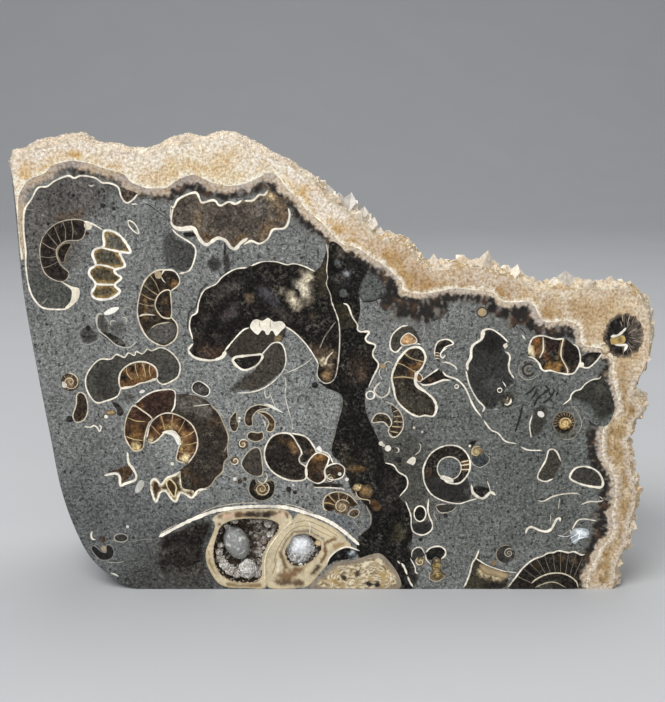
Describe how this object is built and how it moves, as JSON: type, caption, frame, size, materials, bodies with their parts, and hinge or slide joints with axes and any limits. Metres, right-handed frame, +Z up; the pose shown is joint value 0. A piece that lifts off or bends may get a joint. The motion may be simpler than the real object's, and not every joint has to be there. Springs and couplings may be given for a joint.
{
  "type": "polished ammonite cluster",
  "caption": "Free-standing block of grey ammonite limestone with a flat polished front showing fossil shell sections, a flat cut base and a crust of natural calcite crystals.",
  "frame": {"origin": "on the surface that the block stands on, under the middle of its bounding box", "axes": "+X to the right along the polished face, +Y away from the polished face to the rough back, +Z up"},
  "size_m": [0.201, 0.052, 0.1473],
  "materials": {
    "limestone": "polished",
    "calcite": "satin",
    "shell": "polished"
  },
  "bodies": {
    "root": {"ammonite_block": "limestone"}
  },
  "joints": []
}
